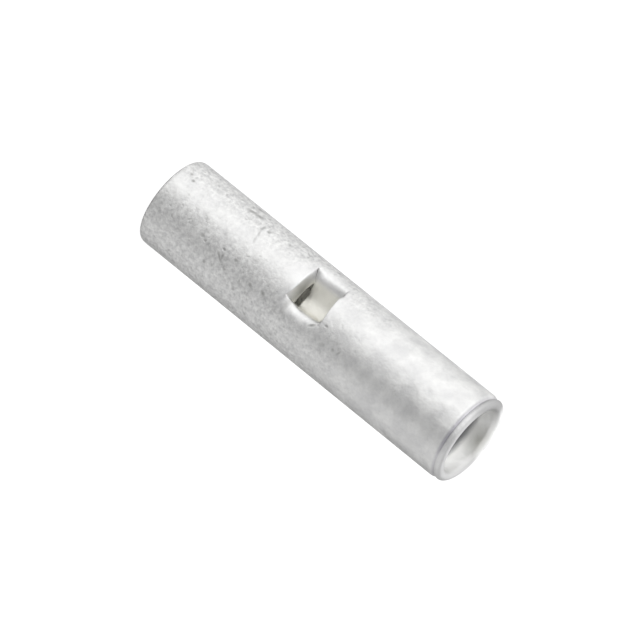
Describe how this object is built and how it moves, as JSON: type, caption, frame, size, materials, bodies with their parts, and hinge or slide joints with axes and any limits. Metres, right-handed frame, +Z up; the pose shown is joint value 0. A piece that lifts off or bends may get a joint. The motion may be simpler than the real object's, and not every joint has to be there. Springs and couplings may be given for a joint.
{
  "type": "butt splice connector",
  "caption": "Bare tin-plated copper sleeve with a wire bore from each end, a rolled lip at one mouth and a wire stop pressed into its wall at mid-length, for crimping wires end to end.",
  "frame": {"origin": "middle of the plain end's face, on the axis of the bore", "axes": "+Z up along the bore towards the mouth with the rolled lip, -Y out of the wire stop's pocket"},
  "size_m": [0.007, 0.007, 0.0284],
  "materials": {
    "tin_plate": "matte tin plate over copper, finely mottled"
  },
  "bodies": {
    "root": {"sleeve": "tin_plate"}
  },
  "joints": []
}
